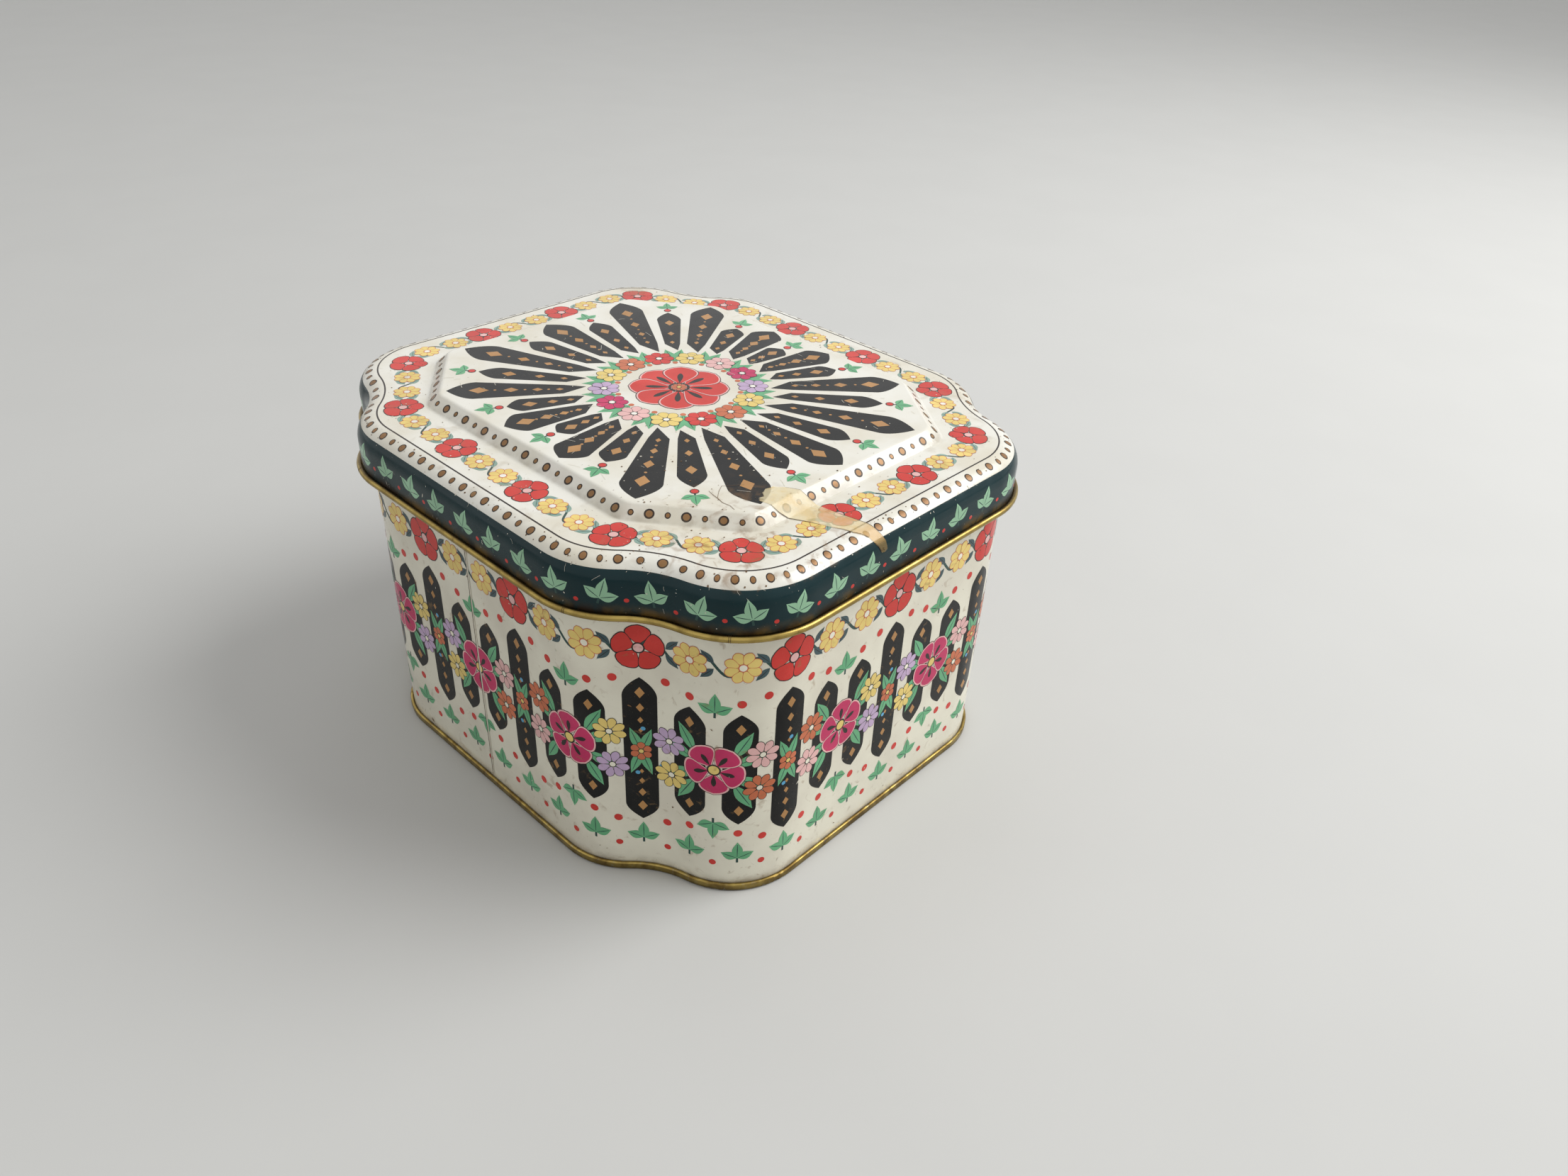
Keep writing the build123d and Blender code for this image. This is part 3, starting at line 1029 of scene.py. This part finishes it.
class TIN_OT_print_wall(bpy.types.Operator):
    """Prints the arches, the band of blossoms and the rows above and below them on the body"""

    bl_idname = "tin.print_wall"
    bl_label = "Print the body"

    def execute(self, context):
        layout = context.scene.tin_print
        strip = Strip(tin_outline(), wall_section, WALL_INSET)
        run = strip.length / layout.arch_groups
        pitch = run / 3
        strip.cell = (pitch / 8, 200.0)
        middle, garland_height = layout.arch_middle / MM, 73.6
        # Each motif has its share of the run, its height and how far every other one is turned
        rows = {
            "wall_print": [(self.arches(layout, pitch), 0.5, 0.0, 0)],
            "wall_garland": [(self.garland(run), 0.5, garland_height, 0)],
            "wall_blossoms": [(self.blossoms(), 0.0, middle, 180), (self.bud(), 0.5, middle, 0)],
        }
        for name, motifs in rows.items():
            ink = Print(name, strip.place)
            for motif, share, height, turn in motifs:
                ink.row(cut_motif(motif, strip.cell), run, layout.arch_groups, share, height, turn)
            ink.finish("box", "body_print")
        return {"FINISHED"}

    def arches(self, layout, pitch):
        """A tall arch between two short ones, with the sprigs and dots above and below them."""
        middle, width = layout.arch_middle / MM, layout.arch_width / MM
        tall_half, short_half = layout.tall_arch / MM / 2, layout.short_arch / MM / 2
        tall = tall_half, ((0.8, 1.0), (0.6, 0.8), (0.43, 0.6), (0.29, 0.45))
        short = short_half, ((0.74, 1.0), (0.48, 0.75))
        sprig = trefoil_sprig(8.4, "leaf", "vine")
        foot_sprigs, high_sprig, low_sprig = 12.6, 61.0, 22.4
        foot_dots, high_dots, low_dots = 9.4, 64.6, 18.4
        group = []
        for along, (half, marks) in ((-pitch, short), (0, tall), (pitch, short)):
            arch = [("black", 0, ogive(width, 2 * half, 5.6))]
            for way in (-1, 1):
                arch += lozenges(marks, 0, way * half, 1.25, 1.7)
            group += moved(arch, 0, (along, middle))
            group += moved(sprig, 0, (along, foot_sprigs))
        for turn, y in ((0, high_sprig), (180, low_sprig)):
            group += moved(sprig, turn, (1.5 * pitch, y))
        large, small, past_tip = 1.15, 0.95, 3.2
        dots = [(small, share * pitch, foot_dots) for share in (-0.5, 0.5, 1.5)]
        for side in (-1, 1):
            dots += [(large, side * pitch / 2, y) for y in (high_dots, low_dots)]
            dots += [(large, side * pitch, middle + way * (short_half + past_tip)) for way in (-1, 1)]
        return group + [("red", 0, ellipse(size, at=(x, y), points=16)) for size, x, y in dots]

    def garland(self, run):
        """A red blossom between two yellow ones on their stem, for the top of the wall."""
        stem = vine(run, 2.6, 0.74, veined_leaf(4.6, 2.0, "slate", "outline"), 0.17, 44, 0.8)
        red = flower(5, 6.7, 6.4, (("outline", 0), ("red", 0.24)), "blush", 1.6)
        yellow = flower(8, 4.7, 2.8, (("rust", 0), ("yellow", 0.15)), "body_coat", 1.2)
        return three_blossoms(run, stem, red, yellow, (22, 22))

    def blossoms(self):
        """A large blossom with leaves and four small blossoms beside it, for the band."""
        group = []
        leaves = (30, 9.6, 4.4), (66, 9.0, 2.0), (112, 9.6, -2.0), (150, 9.0, -4.6)
        places = (11.5, 6.0), (12.0, -4.8)
        for side, tones in ((-1, ("rust", "blush")), (1, ("yellow", "lilac"))):
            for k, (degrees, reach, up) in enumerate(leaves):
                one = veined_leaf(reach, 3.3, "leaf", "vine")
                group += moved(one, -side * degrees, (side * 5.0, up), 2 + 0.15 * k)
            for tone, (along, up) in zip(tones, places):
                small = flower(8, 4.5, 2.4, (("outline", 0), (tone, 0.13)), "body_coat", 1.0)
                group += moved(small, 30 * side, (side * along, up), 3)
        pale_edged = (("outline", 0), ("blush", 0.16), ("magenta", 0.55))
        return group + moved(flower(5, 8.3, 8.2, pale_edged, "yellow", 1.8, "outline"), layer=3.1)

    def bud(self):
        """A small blossom with four leaves and blue dots, for the band between the large ones."""
        group = []
        for k, degrees in enumerate((20, 160, 200, 340)):
            group += moved(veined_leaf(8.0, 2.6, "leaf", "vine"), degrees, layer=2 + 0.15 * k)
        group += moved(flower(6, 3.0, 2.2, (("outline", 0), ("rust", 0.12)), "yellow", 0.8), layer=3.2)
        dots = (-5.4, 4.4), (5.2, -4.0), (0.6, 7.4), (-1.0, -7.2)
        return group + [("sky", 2.5, ellipse(0.62, at=dot, points=12)) for dot in dots]


def speck(rng, size, stretch=1.0):
    """A small uneven blot or chip about the origin, longer along +Y by the stretch."""
    count = rng.randint(5, 8)
    reach = [size * rng.uniform(0.55, 1.0) for _ in range(count)]
    turns = [2 * math.pi * (k + rng.uniform(-0.25, 0.25)) / count for k in range(count)]
    return np.array([(r * math.cos(a), r * stretch * math.sin(a)) for r, a in zip(reach, turns)])


def scratch(bend, width):
    """A fine scratch 1 mm long, bent to one side."""
    return stroke([(0, 0), (bend, 0.5), (0, 1)], width)


class TIN_OT_wear(bpy.types.Operator):
    """Adds the wear: rubbed scratches, chips along the skirt, brown spots, cracks and creases"""

    bl_idname = "tin.wear"
    bl_label = "Wear the print"

    def execute(self, context):
        rng = random.Random(41)
        self.wear_panel(rng)
        self.wear_skirt(rng)
        self.fox_border(rng)
        self.crease_curl()
        self.wear_wall(rng)
        return {"FINISHED"}

    def wear_panel(self, rng):
        """Scratches all over the panel, spots that crowd to its front left, and a crack there."""
        panel = Print("panel_wear", on_panel)
        scratches, spots = 150, 110
        for _ in range(scratches):
            a, share = rng.uniform(0, 2 * math.pi), rng.uniform(0.3, 1.0)
            reach = panel_reach(a, 1.0) * share
            shape = scratch(rng.uniform(-0.1, 0.1), 0.1)
            length = rng.choice((0.4, 0.7, 1.2, 1.8, 3.4))
            cut = cut_motif([("chip", 8, shape * (rng.uniform(0.7, 1.4), length))])
            panel.stamp(cut, (reach * math.cos(a), reach * math.sin(a)), rng.uniform(0, 360))
        for _ in range(spots):
            x, y = rng.gauss(-34, 16), rng.gauss(-42, 18)
            a = math.atan2(y, x)
            edge = panel_reach(a, 0.4)
            if math.hypot(x, y) > edge:
                x, y = edge * math.cos(a), edge * math.sin(a)
            tone = rng.choice(("spot", "spot", "chip"))
            size = rng.choice((0.1, 0.14, 0.2, 0.32))
            panel.stamp(cut_motif([(tone, 8.2, speck(rng, size))]), (x, y))
        crack = (-33.9, -47.9), (-34.5, -50.2), (-34.7, -51.7), (-35.3, -54.0), (-35.0, -56.3), (-35.5, -58.2)
        residue = (-34.7, -51.7), (-32.2, -49.6), (-30.0, -48.2), (-27.6, -49.9), (-25.5, -51.3)
        lines = [("spot", 8.4, stroke(crack, 0.16, 0.4)), ("spot", 8.3, stroke(residue, 0.1, 0.3))]
        panel.stamp(cut_motif(lines), (0, 0))
        panel.finish("lid", "lid_print")

    def wear_skirt(self, rng):
        """Chips on the skirt, most along its curl, spots on the shoulder, and fine scratches."""
        skirt = Strip(tin_outline(), skirt_section)
        worn = Print("skirt_wear", skirt.place)
        chips, spots, scratches = 230, 260, 60
        for _ in range(chips):
            along = rng.uniform(0, skirt.length)
            rise = rng.choice((rng.uniform(0.8, 3.0), rng.uniform(0.8, 12.0), rng.uniform(10.8, 12.6)))
            size = rng.choice((0.07, 0.1, 0.14, 0.22))
            shape = speck(rng, size, rng.choice((1, 1, 1.6, 4.0)))
            worn.stamp(cut_motif([("chip", 6, shape)]), (along, rise), rng.uniform(-40, 40))
        for _ in range(spots):
            along, rise = rng.uniform(0, skirt.length), rng.uniform(12.2, 17.2)
            size = rng.choice((0.08, 0.1, 0.14, 0.2, 0.3))
            worn.stamp(cut_motif([("spot", 6, speck(rng, size))]), (along, rise))
        for _ in range(scratches):
            along, rise = rng.uniform(0, skirt.length), rng.uniform(1.5, 12.5)
            shape = scratch(rng.uniform(-0.2, 0.2), 0.06) * (1, rng.uniform(0.8, 2.4))
            worn.stamp(cut_motif([("chip", 6.5, shape)], (0.7, 0.5)), (along, rise), rng.uniform(-70, 70))
        worn.finish("lid", "lid_print")

    def fox_border(self, rng):
        """Small spots all over the border."""
        border = Strip(border_outline(), border_section)
        foxed = Print("border_wear", border.place)
        spots = 420
        for _ in range(spots):
            along, across = rng.uniform(0, border.length), rng.uniform(-5.6, 5.6)
            size = rng.choice((0.08, 0.1, 0.12, 0.16, 0.26))
            tone = rng.choice(("spot", "spot", "chip"))
            foxed.stamp(cut_motif([(tone, 8, speck(rng, size))]), (along, across))
        foxed.finish("lid", "lid_print")

    def crease_curl(self):
        """Painted shade in the pinch that the rolling tool left on each side of every hollow corner."""
        # Lengths along the curl are measured between its middle and its outer side
        curl = Strip(tin_outline(), curl_section, -0.8)
        crease_shade = Print("curl_crease_shade", curl.place)
        # Dark ticks painted as the shade in each pinch
        crease_shade_tick = np.array([(0.0, 100.0), (0.1, 90.0), (0.1, -40.0), (0.0, -50.0), (-0.02, 20.0)])
        crease_shade_tick = cut_motif([("grime", 0, crease_shade_tick)], (1.0, 15.0))
        side_pinch, end_pinch = (-74.7, -43.9), (-55.1, -77.3)
        for x, y in (side_pinch, end_pinch):
            for flip_x in (-1, 1):
                for flip_y in (-1, 1):
                    gap = np.hypot(curl.line[:, 0] - x * flip_x, curl.line[:, 1] - y * flip_y)
                    at = curl.along[int(gap[:-1].argmin())]
                    for shift in (-0.2, 0.22):
                        crease_shade.stamp(crease_shade_tick, (at + shift, 0))
        crease_shade.finish("lid", "lid_print")

    def wear_wall(self, rng):
        """The line of the side seam, and specks all over the wall, most at its foot."""
        wall = Strip(tin_outline(), wall_section, WALL_INSET)
        worn = Print("wall_wear", wall.place)
        points = 40
        waver, height = 0.05 * np.sin(np.linspace(0, 9, points)), np.linspace(2.5, 91.0, points)
        seam = np.column_stack([waver, height])
        # Grime fills the seam, and a strip beside it has lost its print
        lines = [("grime", 9, stroke(seam, 0.26)), ("warm_coat", 8.6, stroke(seam + (0.42, 0), 0.5))]
        worn.stamp(cut_motif(lines), (wall.length / 2, 0))
        specks, foot, top = 360, 2.8, 83.0
        for _ in range(specks):
            along, height = rng.uniform(0, wall.length), rng.uniform(foot, top)
            if rng.random() < 0.35:
                height = foot + abs(rng.gauss(0, 3.0))
            size = rng.choice((0.07, 0.09, 0.12, 0.17, 0.28))
            shape = speck(rng, size, rng.choice((1, 1, 1, 3.0)))
            tone = rng.choice(("spot", "chip", "chip"))
            worn.stamp(cut_motif([(tone, 9.4, shape)]), (along, height), rng.uniform(-60, 60))
        worn.finish("box", "body_print")


class TIN_OT_lay_tape(bpy.types.Operator):
    """Lays the torn old strip of clear tape over the lid's front edge"""

    bl_idname = "tin.lay_tape"
    bl_label = "Lay the tape"

    def execute(self, context):
        # Round the strip from its back left corner: its ragged ends and its edges, as X and as the length
        # of way over the lid's edge
        back = [(-28.4, 9.2), (-27.3, 8.1), (-26.2, 8.4), (-25.2, 7.0), (-24.2, 6.7), (-23.2, 6.2)]
        back += [(-22.0, 6.6), (-21.0, 6.5), (-20.4, 7.4)]
        right = [(-19.3, 8.4), (-18.4, 9.9), (-17.3, 11.9), (-16.4, 14.2), (-15.5, 16.8), (-15.0, 20.4)]
        right += [(-14.2, 24.6), (-13.3, 28.8), (-12.7, 31.6), (-12.2, 34.2), (-11.4, 36.6)]
        front = [(-11.3, 38.6), (-12.1, 39.2), (-12.6, 38.2), (-13.4, 38.9), (-14.1, 37.4), (-14.9, 36.2)]
        left = [(-15.9, 34.0), (-17.2, 32.6), (-18.4, 31.4), (-19.2, 29.0), (-20.4, 26.6), (-21.6, 24.0)]
        left += [(-22.9, 21.0), (-24.6, 17.8), (-25.8, 16.0), (-26.7, 14.6), (-27.6, 12.0), (-28.0, 10.4)]
        film = np.array(back + right + front + left) * (1, -1)
        # Dirt that has gathered in the glue, in short uneven runs between two points of the outline
        runs = (0, 4, 0.2), (9, 13, 0.14), (14, 19, 0.2), (21, 25, 0.26), (26, 30, 0.18), (31, 36, 0.24)
        shapes = [("tape", 0, film)]
        for first, last, wide in runs:
            line = film[first : last + 1] * 0.985 + (-0.3, -0.2)
            shapes.append(("grime", 0.8, stroke(line, wide, 0.7)))
        strip = Print("old_tape", over_front)
        strip.stamp(cut_motif(shapes, (0.7, 0.7)), (0, 0))
        piece = strip.finish("lid", "aged_tape", TAPE_LIFT)
        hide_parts("tape_strip")
        return {"FINISHED"}


class TIN_OT_set_stage(bpy.types.Operator):
    """Sets the pale floor, the soft light and the camera"""

    bl_idname = "tin.set_stage"
    bl_label = "Set the studio"

    def execute(self, context):
        scene = context.scene
        self.lay_floor(scene)
        self.light_room(scene)
        self.set_camera(scene)
        scene.view_settings.view_transform = "Standard"
        return {"FINISHED"}

    def lay_floor(self, scene):
        """A wide sheet of matt paper, a little uneven in tone."""
        tone = scene.tin_stage.floor
        mesh = bpy.data.meshes.new("studio_floor")
        corners = [(-1, -1), (1, -1), (1, 1), (-1, 1)]
        reach = 40000 * MM
        mesh.from_pydata([(reach * x, reach * y, 0) for x, y in corners], [], [(0, 1, 2, 3)])
        finish, tree = new_finish("matt_paper_floor")
        place, _ = in_mm(tree)
        shade = tuple(c * 0.985 for c in tone)
        colour = layered(tree, tone, (shade, mottle(tree, place, 60.0, 0.3, 0.7)))
        close(tree, {"Base Color": colour, "Roughness": 0.75})
        mesh.materials.append(finish)
        floor = bpy.data.objects.new("studio_floor", mesh)
        scene.collection.objects.link(floor)

    def light_room(self, scene):
        """A dim room that looks white in reflections and to the camera, and two soft lamps."""
        stage = scene.tin_stage
        world = bpy.data.worlds.new("studio_room")
        world.use_nodes = True
        tree = world.node_tree
        tree.nodes.clear()
        path = add_node(tree, "ShaderNodeLightPath").outputs
        rays = path["Is Camera Ray"], path["Is Glossy Ray"], path["Is Transmission Ray"]
        strength = layered(tree, stage.fill, (1.0, amount(tree, *rays, by="MAXIMUM")), kind="FLOAT")
        sky = add_node(tree, "ShaderNodeBackground", {"Color": (1, 1, 1, 1), "Strength": strength})
        add_node(tree, "ShaderNodeOutputWorld", {"Surface": sky.outputs[0]})
        scene.world = world
        # Places and widths are metres
        key = "key_softbox", (0.84, -0.7, 1.08), 1.1, stage.key_power
        top = "top_softbox", (0.1, 0.3, 1.2), 0.8, stage.key_power * 0.05
        aim = Vector((0, 0, 0.05))
        for name, place, size, power in (key, top):
            lamp = bpy.data.lights.new(name, "AREA")
            lamp.shape, lamp.size, lamp.energy = "DISK", size, power
            holder = bpy.data.objects.new(name, lamp)
            scene.collection.objects.link(holder)
            holder.location = place
            holder.rotation_euler = (aim - Vector(place)).to_track_quat("-Z", "Y").to_euler()

    def set_camera(self, scene):
        """The photo's camera, solved from the tin's outline in it."""
        # Both are in pixels of the photo
        photo_width, focal_length = 2212, 1616.7
        azimuth, elevation, roll = (math.radians(degrees) for degrees in (-138.27649, 34.15631, 3.21108))
        # Where the middle of the tin's foot lies from the camera, along its right, its up and its back
        tin_from_eye = -33.8486, -28.0861, -375.2103
        camera = bpy.data.cameras.new("photo_view")
        camera.sensor_fit, camera.sensor_width = "HORIZONTAL", 36.0
        camera.lens = camera.sensor_width * focal_length / photo_width
        camera.clip_start, camera.clip_end = 0.01, 20
        holder = bpy.data.objects.new("photo_view", camera)
        scene.collection.objects.link(holder)
        level = Vector((math.cos(azimuth), math.sin(azimuth), 0))
        back = level * math.cos(elevation) + Vector((0, 0, math.sin(elevation)))
        right = Vector((0, 0, 1)).cross(back).normalized()
        up = back.cross(right)
        cos, sin = math.cos(roll), math.sin(roll)
        right, up = right * cos + up * sin, up * cos - right * sin
        turn = Matrix((right, up, back)).transposed()
        eye = -(turn @ Vector(tin_from_eye)) * MM
        holder.matrix_world = Matrix.Translation(eye) @ turn.to_4x4()
        scene.camera = holder


class TIN_PT_sidebar(bpy.types.Panel):
    """Lists the tin's pieces and settings"""

    bl_idname = "TIN_PT_sidebar"
    bl_label = "Keepsake tin"
    bl_space_type = "VIEW_3D"
    bl_region_type = "UI"
    bl_category = "Tin"

    def draw(self, context):
        for step in STEPS:
            self.layout.operator(step.bl_idname)
        for group in (context.scene.tin_print, context.scene.tin_stage, context.scene.tin_inks):
            for name in group.bl_rna.properties.keys():
                if name not in ("rna_type", "name"):
                    self.layout.prop(group, name)


GROUPS = {"tin_inks": TinInks, "tin_print": TinPrint, "tin_stage": TinStage}
STEPS = (
    TIN_OT_finish_sheet,
    TIN_OT_print_panel,
    TIN_OT_print_border,
    TIN_OT_print_skirt,
    TIN_OT_print_wall,
    TIN_OT_wear,
    TIN_OT_lay_tape,
    TIN_OT_set_stage,
)


def register():
    for name, group in GROUPS.items():
        bpy.utils.register_class(group)
        setattr(bpy.types.Scene, name, PointerProperty(type=group))
    for part in (*STEPS, TIN_PT_sidebar):
        bpy.utils.register_class(part)


def unregister():
    for part in reversed((*STEPS, TIN_PT_sidebar)):
        bpy.utils.unregister_class(part)
    for name, group in reversed(GROUPS.items()):
        delattr(bpy.types.Scene, name)
        bpy.utils.unregister_class(group)


def main():
    register()
    for step in STEPS:
        group, name = step.bl_idname.split(".")
        if getattr(getattr(bpy.ops, group), name)() != {"FINISHED"}:
            raise RuntimeError(step.bl_label + " didn't finish")


if __name__ == "__main__":
    main()
